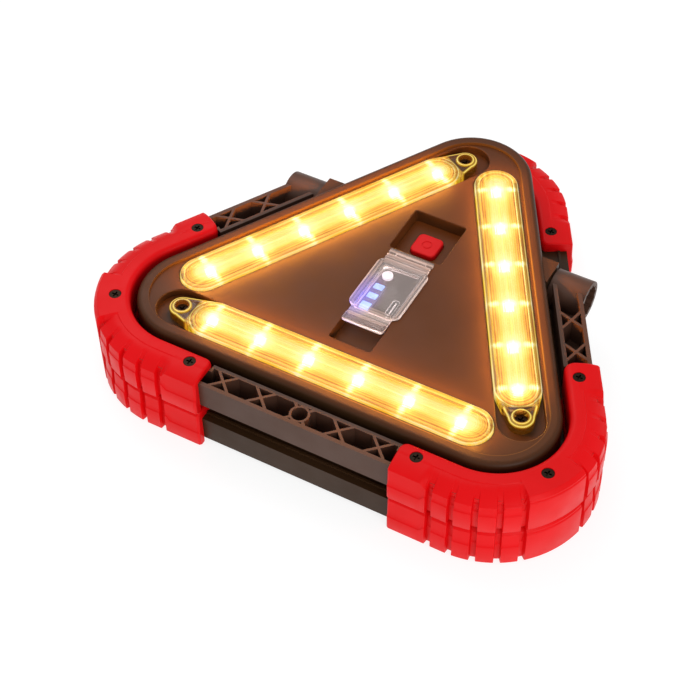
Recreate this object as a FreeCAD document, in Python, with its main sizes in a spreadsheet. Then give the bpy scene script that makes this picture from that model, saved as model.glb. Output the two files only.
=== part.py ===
import FreeCAD, Part
import math
import os

import Sketcher
from FreeCAD import Placement, Rotation, Vector

# Rechargeable warning triangle: a flat triangular lamp with three amber light bars, rubber
# corner bumpers and a U-shaped stand that swings on two side pivots.
# Z points up with the lamp lying on its back. Sketches are drawn about the triangle's
# centre; every finished piece is then shifted so the origin is under the middle of the box.

SIDES = (0, 1, 2)               # front, right and left; each is the front side turned by 120 degrees
SIDE_NAMES = ("front", "right", "left")
COS30 = math.cos(math.radians(30))

DIMENSIONS = [
    # overall triangle
    ("corner_reach", 76.0, "triangle centre to the centre of each corner arc"),
    ("total_height", 38.0, "rest plane to the top of the stand bumpers"),
    # lamp body
    ("body_edge", 63.4, "centre to the body's side walls"),
    ("bead_edge", 58.5, "centre to the step inside the rim"),
    ("body_wall", 2.2, "housing wall"),
    ("rim_top", 37.6, "top of the rim"),
    ("panel_top", 36.4, "top of the front panel"),
    ("panel_under", 33.8, "underside of the front panel"),
    ("split_low", 17.0, "top of the rear housing"),
    ("split_high", 18.0, "bottom of the front housing"),
    ("back_face", 2.5, "outer face of the rear housing"),
    ("back_inside", 5.0, "inner face of the rear floor"),
    # light bars
    ("bar_line", 47.5, "centre to the middle line of a light bar"),
    ("bar_head", 59.6, "round end of a bar, along the side"),
    ("bar_tail", 54.0, "where a bar starts to taper, along the side"),
    ("tab_tip", 68.2, "screw tab at the end of a bar, along the side"),
    ("tab_radius", 5.2, "rounding of the screw tab"),
    ("lens_radius", 9.2, "half the width of a lens"),
    ("lens_top", 37.9, "top of a lens"),
    ("lens_wall", 1.4, "wall of a lens"),
    ("window_radius", 9.4, "half the width of a lens recess"),
    ("window_tail", 69.5, "far end of a lens recess, along the side"),
    ("window_floor", 33.0, "floor of a lens recess"),
    ("window_under", 31.5, "underside of that floor"),
    ("tab_seat", 34.4, "seat of the screw in the tab"),
    ("board_thick", 1.2, "circuit board"),
    ("board_radius", 7.4, "half the width of an LED board"),
    ("led_size", 3.5, "LED package side"),
    ("led_height", 1.4, "LED package height"),
    ("led_pitch", 22.0, "LED spacing"),
    ("led_first", 54.0, "first LED, along the side"),
    # button and its well
    ("recess_round", 0.4, "rounding along the edge of every recess in the panel"),
    ("well_half", 11.8, "half the width of the button well"),
    ("well_near", 22.3, "near end of the button well"),
    ("well_far", 46.5, "far end of the button well"),
    ("well_floor", 30.5, "floor of the button well"),
    ("well_under", 29.0, "underside of that floor"),
    ("button_y", 33.5, "centre of the button"),
    ("button_half", 5.7, "half the button's side"),
    ("button_round", 2.4, "corner rounding of the button"),
    ("button_top", 32.6, "top of the button"),
    ("button_base", 27.2, "bottom of the button's flange"),
    ("slip", 0.3, "gap round a moving piece"),
    ("travel", 1.0, "button travel"),
    # charging port, its cover and the finger recess
    ("port_half", 9.0, "half the width of the port cavity"),
    ("port_near", -15.0, "near end of the port cavity"),
    ("port_far", 12.6, "far end of the port cavity"),
    ("port_floor", 35.2, "floor of the port cavity"),
    ("port_under", 31.5, "underside of the block the port sits in"),
    ("gauge_x", -4.6, "middle line of the battery gauge"),
    ("gauge_first", -0.2, "first bar of the gauge"),
    ("gauge_pitch", 5.6, "spacing of the gauge bars"),
    ("dot_y", 7.3, "round indicator"),
    ("socket_x", 5.9, "middle line of the charging port"),
    ("socket_y", -8.0, "middle of the charging port"),
    ("cover_half", 11.5, "half the width of the cover's plate"),
    ("cover_near", -14.8, "near edge of the cover's plate"),
    ("cover_far", 14.6, "far edge of the cover's plate"),
    ("cover_top", 38.0, "top of the cover"),
    ("cover_under", 36.6, "underside of the cover"),
    ("hinge_y", 17.0, "line the cover turns on"),
    ("hinge_z", 37.3, "height of that line"),
    ("hinge_round", 0.6, "radius of the bead at the hinge"),
    ("hinge_half", 9.9, "half the width of the cover's hinge end"),
    ("anchor_near", 18.2, "near edge of the strip that holds the cover"),
    ("anchor_far", 20.6, "far edge of that strip"),
    ("lip_half", 9.3, "half the width of the pull lip"),
    ("lip_near", -23.4, "tip of the pull lip"),
    ("finger_half", 9.3, "half the width of the finger recess"),
    ("finger_near", -33.0, "near end of the finger recess"),
    ("finger_far", -16.8, "far end of the finger recess, under the lip"),
    ("finger_floor", 31.5, "floor of the finger recess"),
    # stand
    ("frame_out", 77.5, "centre to the stand's outer wall"),
    ("frame_in", 66.3, "centre to the stand's inner wall"),
    ("frame_core", 68.2, "centre to the stand's inner wall under a bumper"),
    ("frame_wall", 1.7, "wall of the stand's channel"),
    ("frame_top", 35.0, "top of the stand's channel"),
    ("frame_base", 22.5, "bottom of the stand's channel"),
    ("frame_floor", 24.3, "floor inside the channel"),
    ("arm_end", 36.0, "where the arms run into the pivot tubes"),
    ("cross_pitch", 17.0, "spacing of the cross ribs"),
    ("cross_half", 4.5, "half the length of a cross rib along the side"),
    ("rib", 1.1, "rib thickness"),
    ("pivot_y", 41.5, "pivot axis"),
    ("pivot_z", 26.0, "pivot axis height"),
    ("tube_radius", 8.7, "outside of a pivot tube"),
    ("tube_bore", 6.4, "hollow of a pivot tube"),
    ("tube_inner", 54.3, "inner end of a pivot tube"),
    ("tube_outer", 70.0, "outer end of a pivot tube"),
    ("hub_floor", 58.3, "floor inside a pivot tube"),
    ("wedge_face", 53.7, "flat face of the side wedge"),
    ("wedge_near", 34.3, "near edge of the side wedge"),
    ("wedge_far", 46.8, "far edge of the side wedge"),
    ("wedge_top", 36.0, "top of the side wedge"),
    ("journal", 3.0, "radius of the pivot bolt's journal"),
    ("running_gap", 0.06, "clearance round the journal"),
    # base ring
    ("ring_top", 14.0, "top of the base ring"),
    ("ring_web", 12.0, "underside of the ring's web"),
    # bumpers
    ("bumper_out", 80.8, "centre to the outside of the bumpers"),
    ("bumper_in", 66.0, "centre to the inside of the bumpers"),
    ("bumper_end", 41.8, "where a bumper's arms end, along the side"),
    ("bumper_fit", 0.1, "gap between a bumper and the ring it wraps"),
    ("boss_radius", 2.9, "bosses the bumper screws bite into"),
    ("seam_low", 18.8, "top of the base bumpers"),
    ("seam_high", 19.3, "bottom of the stand bumpers"),
    ("tread_deep", 2.0, "depth of the tread grooves"),
    ("tread_wide", 1.8, "width of the tread grooves"),
    ("screw_line", 71.2, "centre to the bumper's end screws"),
    ("screw_along", 49.5, "bumper's end screws, along the side"),
    ("screw_reach", 110.0, "centre to the bumper's middle screw"),
    ("screw_head", 2.4, "radius of a bumper screw's head"),
    ("screw_shank", 1.5, "radius of a bumper screw's shank"),
    # inside
    ("cell_radius", 9.15, "battery cell"),
    ("cell_half", 32.6, "half the length of a cell"),
    ("cell_z", 14.6, "height of the cells' axes"),
    ("pcb_z", 20.0, "underside of the main board"),
    ("pcb_half", 21.0, "half the width of the main board"),
    ("glow_half", 29.0, "half the width of the rear light window"),
    ("glow_near", -3.0, "near edge of the rear light window"),
    ("glow_far", 31.0, "far edge of the rear light window"),
    ("boss_line", 53.8, "centre to the housing screws"),
    ("boss_along", 40.0, "housing screws, along the side"),
]

doc = FreeCAD.newDocument("warning_triangle")
sheet = doc.addObject("Spreadsheet::Sheet", "dims")


class Size:
    """A length together with the sheet expression that gives it."""

    def __init__(self, value, text=None):
        self.value = float(value)
        self.text = text if text is not None else "%.6f" % value
        self.driven = text is not None

    @staticmethod
    def of(other):
        return other if isinstance(other, Size) else Size(other)

    def _join(self, other, sign, value):
        joined = Size(value, "(%s %s %s)" % (self.text, sign, other.text))
        joined.driven = self.driven or other.driven
        return joined

    def __add__(self, other):
        other = Size.of(other)
        return self._join(other, "+", self.value + other.value)

    def __sub__(self, other):
        other = Size.of(other)
        return self._join(other, "-", self.value - other.value)

    def __rsub__(self, other):
        return Size.of(other) - self

    def __mul__(self, other):
        other = Size.of(other)
        return self._join(other, "*", self.value * other.value)

    __radd__ = __add__
    __rmul__ = __mul__

    def __neg__(self):
        return Size(0.0) - self


def plain(size):
    return size.value


class Dims:
    pass


D = Dims()
for row, (alias, value, note) in enumerate(DIMENSIONS, start=1):
    sheet.set("A%d" % row, note)
    sheet.set("B%d" % row, str(value))
    sheet.setAlias("B%d" % row, alias)
    setattr(D, alias, Size(value, "dims." + alias))
doc.recompute()

CORNER_X = D.corner_reach * COS30
CORNER_Y = D.corner_reach * 0.5
Y_SHIFT = (CORNER_Y.value - D.corner_reach.value) / 2


# ---------------------------------------------------------------- sketching

def bind(thing, prop, size):
    """Drives one property by the sheet."""
    size = Size.of(size)
    if size.driven:
        thing.setExpression(prop, size.text)


def new_body(label):
    body = doc.addObject("PartDesign::Body", label)
    body.Label = label
    body.AllowCompound = True
    return body


def new_sketch(body, height, turn=0.0, plane="XY"):
    """A sketch parallel to one of the body's origin planes, `height` along its normal."""
    sketch = body.newObject("Sketcher::SketchObject", "outline")
    origin_plane = [f for f in body.Origin.OriginFeatures if f.Role == plane + "_Plane"][0]
    height = Size.of(height)
    sketch.AttachmentSupport = (origin_plane, [""])
    sketch.MapMode = "FlatFace"
    sketch.AttachmentOffset = Placement(Vector(0, 0, height.value), Rotation(Vector(0, 0, 1), turn))
    if height.driven:
        sketch.setExpression(".AttachmentOffset.Base.z", height.text)
    return sketch


def pin(sketch, geometry, point, x, y):
    """Places one sketch point at (x, y), each coordinate driven by the sheet."""
    for size, kind, axis in ((Size.of(x), "DistanceX", -2), (Size.of(y), "DistanceY", -1)):
        if abs(size.value) < 1e-9:
            sketch.addConstraint(Sketcher.Constraint("PointOnObject", geometry, point, axis))
            continue
        index = sketch.addConstraint(Sketcher.Constraint(kind, -1, 1, geometry, point, size.value))
        bind(sketch, "Constraints[%d]" % index, size)


def circle(sketch, x, y, radius):
    x, y, radius = Size.of(x), Size.of(y), Size.of(radius)
    ring = Part.Circle(Vector(x.value, y.value, 0), Vector(0, 0, 1), radius.value)
    geometry = sketch.addGeometry(ring)
    pin(sketch, geometry, 3, x, y)
    index = sketch.addConstraint(Sketcher.Constraint("Radius", geometry, radius.value))
    bind(sketch, "Constraints[%d]" % index, radius)


def belt(sketch, rounds):
    """Closed convex outline: a belt pulled tight round circles (x, y, radius), anticlockwise."""
    rounds = [tuple(Size.of(v) for v in item) for item in rounds]
    count = len(rounds)
    spans = []
    for i in range(count):
        (x1, y1, r1), (x2, y2, r2) = rounds[i], rounds[(i + 1) % count]
        dx, dy = x2.value - x1.value, y2.value - y1.value
        normal = math.atan2(dy, dx) - math.acos((r1.value - r2.value) / math.hypot(dx, dy))
        side = Vector(math.cos(normal), math.sin(normal), 0)
        start = Vector(x1.value, y1.value, 0) + side * r1.value
        end = Vector(x2.value, y2.value, 0) + side * r2.value
        spans.append((start, end, normal))
    lines = [sketch.addGeometry(Part.LineSegment(a, b)) for a, b, _ in spans]
    for i, (x, y, radius) in enumerate(rounds):
        before, after = lines[i - 1], lines[i]
        if radius.value < 1e-9:
            sketch.addConstraint(Sketcher.Constraint("Coincident", before, 2, after, 1))
            pin(sketch, after, 1, x, y)
            continue
        first, last = spans[i - 1][2], spans[i][2]
        while last < first:
            last += 2 * math.pi
        ring = Part.Circle(Vector(x.value, y.value, 0), Vector(0, 0, 1), radius.value)
        arc = sketch.addGeometry(Part.ArcOfCircle(ring, first, last))
        sketch.addConstraint(Sketcher.Constraint("Tangent", before, 2, arc, 1))
        sketch.addConstraint(Sketcher.Constraint("Tangent", arc, 2, after, 1))
        pin(sketch, arc, 3, x, y)
        index = sketch.addConstraint(Sketcher.Constraint("Radius", arc, radius.value))
        bind(sketch, "Constraints[%d]" % index, radius)


def triangle(sketch, edge):
    """Rounded triangle whose sides are `edge` from the centre; all share the corner arc centres."""
    radius = Size.of(edge) - CORNER_Y
    belt(sketch, [(-CORNER_X, -CORNER_Y, radius), (CORNER_X, -CORNER_Y, radius),
                  (0, D.corner_reach, radius)])


def box(sketch, x0, x1, y0, y1, radius=0.0):
    x0, x1, y0, y1, radius = (Size.of(v) for v in (x0, x1, y0, y1, radius))
    belt(sketch, [(x0 + radius, y0 + radius, radius), (x1 - radius, y0 + radius, radius),
                  (x1 - radius, y1 - radius, radius), (x0 + radius, y1 - radius, radius)])


def bar(sketch, x0, y0, x1, y1, width):
    """A straight strip between two points, `width` wide."""
    length = math.hypot(x1 - x0, y1 - y0)
    nx, ny = -(y1 - y0) / length * width / 2, (x1 - x0) / length * width / 2
    belt(sketch, [(x0 - nx, y0 - ny, 0), (x1 - nx, y1 - ny, 0), (x1 + nx, y1 + ny, 0),
                  (x0 + nx, y0 + ny, 0)])


def swept(body, kind, low, high, draw, turn=0.0, plane="XY"):
    """Adds (Pad) or removes (Pocket) what `draw` outlines, from `low` to `high` along the normal."""
    low, high = Size.of(low), Size.of(high)
    sketch = new_sketch(body, low if kind == "Pad" else high, turn, plane)
    draw(sketch)
    feature = body.newObject("PartDesign::" + kind, kind.lower())
    feature.Profile = sketch
    feature.Length = high.value - low.value
    bind(feature, "Length", high - low)
    body.Tip = feature
    return feature


def add(body, low, high, draw, turn=0.0, plane="XY"):
    return swept(body, "Pad", low, high, draw, turn, plane)


def cut(body, low, high, draw, turn=0.0, plane="XY"):
    return swept(body, "Pocket", low, high, draw, turn, plane)


def soften(body, radius, chosen, kind="Fillet"):
    """Rounds or chamfers the edges for which chosen(edge) is true."""
    doc.recompute()
    tip = body.Tip
    names = ["Edge%d" % (i + 1) for i, edge in enumerate(tip.Shape.Edges) if chosen(edge)]
    feature = body.newObject("PartDesign::" + kind, kind.lower())
    feature.Base = (tip, names)
    radius = Size.of(radius)
    prop = "Radius" if kind == "Fillet" else "Size"
    setattr(feature, prop, radius.value)
    bind(feature, prop, radius)
    body.Tip = feature
    return feature


def mirrored(way, low, high):
    """A span along X on the right side (way 1) or its mirror image on the left (way -1)."""
    return (low, high) if way > 0 else (-high, -low)


def flat_at(edge, height):
    box_of = edge.BoundBox
    return abs(box_of.ZMin - height) < 1e-4 and abs(box_of.ZMax - height) < 1e-4


def on_side(side, reach, along):
    """Plan position of a point `reach` out from the centre and `along` a side."""
    angle = math.radians(-90 + 120 * side)
    return (reach * math.cos(angle) - along * math.sin(angle),
            reach * math.sin(angle) + along * math.cos(angle))


# ---------------------------------------------------------------- finished pieces

pieces = []


def finish(body, turn=0.0):
    body.Placement = Placement(Vector(0, Y_SHIFT, 0), Rotation(Vector(0, 0, 1), turn))
    pieces.append(body)
    return body


def screws(label, places, seat, head_up, head_radius, head_height, shank_radius, length):
    """Cross-head screws at (x, y); `seat` is where the head rests."""
    body = new_body(label)
    head_height, length = Size(head_height), Size(length)
    way = 1 if head_up else -1
    low, high = sorted((seat, seat + way * head_height), key=plain)
    add(body, low, high, lambda s: [circle(s, x, y, head_radius) for x, y in places])
    low, high = sorted((seat, seat - way * length), key=plain)
    add(body, low, high, lambda s: [circle(s, x, y, shank_radius) for x, y in places])
    top = seat + way * head_height
    low, high = sorted((top, top - way * head_height * 0.6), key=plain)
    arm = head_radius.value * 0.6
    for dx, dy in ((arm, 0), (0, arm)):
        cut(body, low, high, lambda s: [bar(s, x - dx, y - dy, x + dx, y + dy, 0.7)
                                        for x, y in places])
    return finish(body)


def lens_outline(radius, tail):
    radius = Size.of(radius)
    return lambda s: belt(s, [(-tail, -D.bar_line, radius), (D.bar_head, -D.bar_line, radius)])


BUTTON_WELL = (-D.well_half, D.well_half, D.well_near, D.well_far)
BOSSES = [on_side(side, D.boss_line.value, way * D.boss_along.value)
          for side in SIDES for way in (1, -1)]


def button_outline(sketch, grow=0.0):
    half = D.button_half + grow
    box(sketch, -half, half, D.button_y - half, D.button_y + half, D.button_round + grow)


def socket_outline(sketch, grow=0.0):
    """Rounded slot of the charging port, 3.4 by 9.2 mm."""
    wide, long = 1.7 + grow, 4.6 + grow
    box(sketch, D.socket_x - wide, D.socket_x + wide, D.socket_y - long, D.socket_y + long,
        1.5 + grow)


def front_housing():
    body = new_body("front_housing")
    add(body, D.split_high, D.rim_top, lambda s: triangle(s, D.body_edge))
    soften(body, 2.4, lambda e: flat_at(e, D.rim_top.value))
    cut(body, D.panel_top, D.rim_top, lambda s: triangle(s, D.bead_edge))
    cut(body, D.split_high, D.panel_under, lambda s: triangle(s, D.body_edge - D.body_wall))
    doc.recompute()
    rim_step = [e.CenterOfMass for e in body.Tip.Shape.Edges if flat_at(e, D.panel_top.value)]
    # trays that carry the light bars, the button and the charging port
    for side in SIDES:
        add(body, D.window_under, D.panel_under,
            lambda s: belt(s, [(-D.window_tail, -D.bar_line, D.window_radius + 1.0),
                               (D.bar_head, -D.bar_line, D.window_radius + 1.0)]), 120 * side)
    add(body, D.well_under, D.panel_under,
        lambda s: box(s, -D.well_half - 1.5, D.well_half + 1.5, D.well_near - 1.5,
                      D.well_far + 1.5, 2.5))
    add(body, D.port_under - 1.5, D.panel_under,
        lambda s: box(s, -D.port_half - 1.5, D.port_half + 1.5, D.finger_near - 1.5,
                      D.port_far + 1.5, 1.5))
    for side in SIDES:
        cut(body, D.window_floor, D.panel_top, lens_outline(D.window_radius, D.window_tail),
            120 * side)
    cut(body, D.well_floor, D.panel_top, lambda s: box(s, *BUTTON_WELL, 1.2))
    cut(body, D.port_floor, D.panel_top,
        lambda s: box(s, -D.port_half, D.port_half, D.port_near, D.port_far, 1.5))
    cut(body, D.finger_floor, D.panel_top,
        lambda s: box(s, -D.finger_half, D.finger_half, D.finger_near, D.finger_far, 1.2))
    soften(body, D.recess_round,
           lambda e: flat_at(e, D.panel_top.value)
           and all((e.CenterOfMass - step).Length > 0.1 for step in rim_step))
    # hole for the button, slots for the port and the cover's anchor
    cut(body, D.well_under - 1.0, D.well_floor, lambda s: button_outline(s, D.slip))
    cut(body, D.port_under - 1.6, D.port_floor, lambda s: socket_outline(s, 0.1))
    cut(body, D.panel_under - 1.0, D.panel_top, lambda s: box(s, -7.0, 7.0, 18.5, 20.1, 0.5))
    # wiring slots under the light bars
    for side in SIDES:
        cut(body, D.window_under - 0.5, D.window_floor,
            lambda s: box(s, -2.5, 2.5, -D.bar_line - 1.5, -D.bar_line + 1.5, 1.0), 120 * side)
    # side wedges with a boss for each pivot bolt
    for way in (1, -1):
        def wedge(s, way=way):
            corners = [(D.wedge_face, D.wedge_near), (D.wedge_face, D.wedge_far),
                       (D.wedge_face - 9.0, D.wedge_far), (D.wedge_face - 9.0, D.wedge_near + 8.0)]
            if way < 0:
                corners = [(-x, y) for x, y in reversed(corners)]
            belt(s, [(x, y, 0) for x, y in corners])
        add(body, D.split_high, D.wedge_top, wedge)
        add(body, *mirrored(way, D.wedge_face - 14.0, D.wedge_face),
            lambda s: circle(s, D.pivot_y, D.pivot_z, 5.4), plane="YZ")
        cut(body, *mirrored(way, D.wedge_face - 10.0, D.wedge_face),
            lambda s: circle(s, D.pivot_y, D.pivot_z, 1.9), plane="YZ")
    # bosses the housing and lens screws bite into
    add(body, D.split_high, D.window_under, lambda s: [circle(s, x, y, 3.4) for x, y in BOSSES])
    cut(body, D.split_high, D.split_high + 10.0,
        lambda s: [circle(s, x, y, D.screw_shank) for x, y in BOSSES])
    for side in SIDES:
        add(body, D.window_under - 5.0, D.window_under,
            lambda s: circle(s, -D.tab_tip, -D.bar_line, 3.0), 120 * side)
        cut(body, D.window_under - 4.0, D.window_floor,
            lambda s: circle(s, -D.tab_tip, -D.bar_line, D.screw_shank), 120 * side)
    return finish(body)


def rear_housing():
    body = new_body("rear_housing")
    # base ring
    add(body, D.back_face, D.ring_top, lambda s: triangle(s, D.frame_out))
    add(body, D.back_face, D.split_low, lambda s: triangle(s, D.body_edge))
    # hollow of the tub
    cut(body, D.back_inside, D.split_low, lambda s: triangle(s, D.body_edge - D.body_wall))
    # the ring's channel, open underneath
    cut(body, D.back_face, D.ring_web,
        lambda s: (triangle(s, D.frame_out - D.frame_wall), triangle(s, D.body_edge + 0.4)))
    for side in SIDES:
        # ridge along the ring's top
        add(body, D.ring_top - 0.5, D.ring_top + 1.0,
            lambda s: box(s, 0.3 - D.bumper_end, D.bumper_end - 0.3, -74.6, -73.6), 120 * side)
        # cross ribs in the channel
        for slope in (1, -1):
            add(body, D.back_face + 0.6, D.ring_web + 0.5,
                lambda s: [bar(s, x - 5.5, -70.0 - 6.4 * slope, x + 5.5, -70.0 + 6.4 * slope,
                               D.rib.value) for x in (-34.0, -17.0, 0.0, 17.0, 34.0)], 120 * side)
        # bosses for the bumper screws
        add(body, D.back_face + 0.6, D.ring_web + 0.5,
            lambda s: [circle(s, way * D.screw_along, -D.screw_line, D.boss_radius)
                       for way in (1, -1)], 120 * side)
    for spot in MIDDLE_BASE:
        add(body, D.back_face + 0.6, D.ring_web + 0.5,
            lambda s: circle(s, spot[0], spot[1], D.boss_radius))
    cut(body, D.back_face + 2.0, D.ring_top,
        lambda s: [circle(s, x, y, D.screw_shank) for x, y in BASE_SCREWS])
    # screw bosses of the housing, with counterbores in the back
    add(body, D.back_inside - 0.5, D.split_low, lambda s: [circle(s, x, y, 3.4) for x, y in BOSSES])
    cut(body, D.back_face, D.split_low,
        lambda s: [circle(s, x, y, D.screw_shank + 0.15) for x, y in BOSSES])
    cut(body, D.back_face, D.back_face + 3.0,
        lambda s: [circle(s, x, y, D.screw_head + 0.3) for x, y in BOSSES])
    # window for the rear light, with a step the lens sits on
    cut(body, D.back_face, D.back_inside,
        lambda s: box(s, -D.glow_half, D.glow_half, D.glow_near, D.glow_far, 4.0))
    # posts under the main board
    add(body, D.back_inside - 0.5, D.pcb_z, lambda s: [circle(s, x, y, 2.2) for x, y in BOARD_POSTS])
    return finish(body)


BASE_SCREWS = [on_side(side, D.screw_line.value, way * D.screw_along.value)
               for side in SIDES for way in (1, -1)]
MIDDLE_BASE = [on_side(side, D.screw_reach.value * 0.5, D.screw_reach.value * COS30) for side in SIDES]
BASE_SCREWS += MIDDLE_BASE
STAND_SCREWS = [on_side(0, D.screw_line.value, way * D.screw_along.value) for way in (1, -1)]
STAND_SCREWS += [on_side(1, D.screw_line.value, -D.screw_along.value),
                 on_side(2, D.screw_line.value, D.screw_along.value)]
STAND_SCREWS += [MIDDLE_BASE[0], MIDDLE_BASE[2]]
BOARD_POSTS = [(x, y) for x in (-18.0, 18.0) for y in (37.5, 46.0)]


def housing_gasket():
    body = new_body("housing_gasket")
    add(body, D.split_low, D.split_high,
        lambda s: (triangle(s, D.body_edge - 0.4), triangle(s, D.body_edge - 2.0)))
    return finish(body)


def light_bar(side):
    turn = 120 * side
    name = SIDE_NAMES[side]
    lens = new_body("lens_" + name)
    add(lens, D.window_floor, D.lens_top,
        lambda s: belt(s, [(-D.tab_tip, -D.bar_line, D.tab_radius),
                           (-D.bar_tail, -D.bar_line, D.lens_radius)]))
    add(lens, D.window_floor, D.lens_top, lens_outline(D.lens_radius, D.bar_tail))
    soften(lens, 1.3, lambda e: flat_at(e, D.lens_top.value))
    cut(lens, D.window_floor, D.lens_top - D.lens_wall,
        lens_outline(D.lens_radius - D.lens_wall, D.bar_tail))
    cut(lens, D.window_floor, D.lens_top, lambda s: circle(s, -D.tab_tip, -D.bar_line, 1.7))
    cut(lens, D.tab_seat, D.lens_top, lambda s: circle(s, -D.tab_tip, -D.bar_line, 2.9))
    finish(lens, turn)

    board = new_body("led_board_" + name)
    add(board, D.window_floor, D.window_floor + D.board_thick,
        lens_outline(D.board_radius, D.bar_tail))
    finish(board, turn)

    leds = new_body("leds_" + name)
    half = D.led_size * 0.5
    under = D.window_floor + D.board_thick
    add(leds, under, under + D.led_height,
        lambda s: box(s, -D.led_first - half, -D.led_first + half,
                      -D.bar_line - half, -D.bar_line + half))
    row = leds.newObject("PartDesign::LinearPattern", "row")
    row.Originals = [leds.Tip]
    row.Direction = (leds.Tip.Profile[0], ["H_Axis"])
    row.Length = D.led_pitch.value * 5
    row.Occurrences = 6
    row.setExpression("Length", "dims.led_pitch * 5")
    leds.Tip = row
    finish(leds, turn)


def horseshoe(sketch, edge, end):
    """The top corner out to `edge`, between two arms that end square at `end` along their sides."""
    edge, end = Size.of(edge), Size.of(end)
    end_x = edge * COS30 - end * 0.5
    end_y = edge * 0.5 + end * COS30
    belt(sketch, [(end_x, end_y, 0), (0, D.corner_reach, edge - CORNER_Y), (-end_x, end_y, 0),
                  (0, end_y - end_x * (0.5 / COS30), 0)])


def corner_bumper(label, low, high, plate, inner, screws_at, turn):
    """Rubber cap round one corner, drawn at the top corner and then turned into place.

    `plate` is the underside of its top plate, `inner` what the pocket below leaves inside."""
    body = new_body(label)
    edge, low, high, plate = (Size.of(v) for v in (D.bumper_out, low, high, plate))
    add(body, low, high, lambda s: horseshoe(s, edge, D.bumper_end))
    cut(body, low, high, lambda s: triangle(s, D.bumper_in))
    soften(body, 1.8, lambda e: flat_at(e, high.value))
    # pocket over the frame it protects
    wrap = D.frame_out + D.bumper_fit
    if inner is None:
        cut(body, low, plate, lambda s: triangle(s, wrap))
    else:
        cut(body, low, plate, lambda s: (triangle(s, wrap), triangle(s, inner - D.bumper_fit)))
    # tread grooves across the outside
    radius = (edge - CORNER_Y).value
    centre = D.corner_reach.value

    def tread(s):
        deep = D.tread_deep.value
        for degrees in (56.6, 44.0, 31.4, 18.8, -18.8, -31.4, -44.0, -56.6):
            angle = math.radians(90 + degrees)
            cx, cy = math.cos(angle), math.sin(angle)
            bar(s, cx * (radius - deep), centre + cy * (radius - deep),
                cx * (radius + 3), centre + cy * (radius + 3), D.tread_wide.value)
        for way in (1, -1):
            x, y = on_side(1, edge.value, CORNER_X.value - 6.5)
            nx, ny = COS30, 0.5
            bar(s, way * (x - nx * deep), y - ny * deep, way * (x + nx * 3), y + ny * 3,
                D.tread_wide.value)
    cut(body, low, high, tread)
    # screw holes and their counterbores
    cut(body, plate, high, lambda s: [circle(s, x, y, D.screw_shank + 0.2) for x, y in screws_at])
    cut(body, high - 1.6, high, lambda s: [circle(s, x, y, D.screw_head + 0.15) for x, y in screws_at])
    return finish(body, turn)


def bumpers():
    end = on_side(1, D.screw_line.value, D.screw_along.value)
    standard = [end, (-end[0], end[1]), (0.0, D.screw_reach.value)]
    for name, turn in (("left", 120), ("right", -120)):
        corner_bumper("stand_bumper_" + name, D.seam_high, D.total_height,
                      D.frame_top, D.frame_core, standard, turn)
    for name, turn in (("left", 120), ("right", -120), ("top", 0)):
        corner_bumper("base_bumper_" + name, 0, D.seam_low, D.ring_top, None, standard, turn)


def stand_frame():
    body = new_body("stand_frame")
    add(body, D.frame_base, D.frame_top,
        lambda s: (triangle(s, D.frame_out), triangle(s, D.frame_core)))
    for side in SIDES:
        add(body, D.frame_base, D.frame_top,
            lambda s: box(s, 0.3 - D.bumper_end, D.bumper_end - 0.3, -D.frame_core - 0.8,
                          -D.frame_in), 120 * side)
    # channel, open on top
    cut(body, D.frame_floor, D.frame_top,
        lambda s: (triangle(s, D.frame_out - D.frame_wall), triangle(s, D.frame_core + D.frame_wall)))
    for side in SIDES:
        cut(body, D.frame_floor, D.frame_top,
            lambda s: box(s, -40.5, 40.5, -D.frame_core - D.frame_wall - 0.4,
                          -D.frame_in - D.frame_wall), 120 * side)
    # cross ribs along the three sides
    middle = (D.frame_out.value + D.frame_in.value) / 2
    reach = (D.frame_out.value - D.frame_in.value) / 2 - 0.6
    half = D.cross_half.value + 0.6
    pitch = D.cross_pitch.value
    for side, spots in ((0, (-2, -1, 0, 1, 2)), (1, (-2, -1)), (2, (1, 2))):
        for slope in (1, -1):
            add(body, D.frame_floor - 0.5, D.frame_top,
                lambda s: [bar(s, n * pitch - half, -middle - reach * slope,
                               n * pitch + half, -middle + reach * slope, D.rib.value)
                           for n in spots], 120 * side)
    add(body, D.frame_floor - 0.5, D.frame_top, lambda s: circle(s, 0, -middle, 4.1))
    cut(body, D.frame_floor, D.frame_top, lambda s: circle(s, 0, -middle, 3.2))
    # screw bosses under the bumpers
    add(body, D.frame_floor - 0.5, D.frame_top,
        lambda s: [circle(s, x, y, D.boss_radius) for x, y in STAND_SCREWS])
    cut(body, D.frame_floor + 1.0, D.frame_top,
        lambda s: [circle(s, x, y, D.screw_shank) for x, y in STAND_SCREWS])
    # the frame is open towards the top corner
    cut(body, D.frame_base - 1.0, D.frame_top + 1.0,
        lambda s: box(s, -120.0, 120.0, D.arm_end, 130.0))
    # pivot tubes
    for way in (1, -1):
        add(body, *mirrored(way, D.tube_inner, D.tube_outer),
            lambda s: circle(s, D.pivot_y, D.pivot_z, D.tube_radius), plane="YZ")
        cut(body, *mirrored(way, D.hub_floor, D.tube_outer),
            lambda s: circle(s, D.pivot_y, D.pivot_z, D.tube_bore), plane="YZ")
        cut(body, *mirrored(way, D.tube_inner, D.hub_floor),
            lambda s: circle(s, D.pivot_y, D.pivot_z, D.journal + D.running_gap), plane="YZ")
        # splines inside the open end
        cut(body, *mirrored(way, D.tube_outer - 5.0, D.tube_outer),
            lambda s: [circle(s, D.pivot_y.value + D.tube_bore.value * math.cos(math.radians(a)),
                              D.pivot_z.value + D.tube_bore.value * math.sin(math.radians(a)), 0.8)
                       for a in range(0, 360, 30)], plane="YZ")
    return finish(body)


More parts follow.
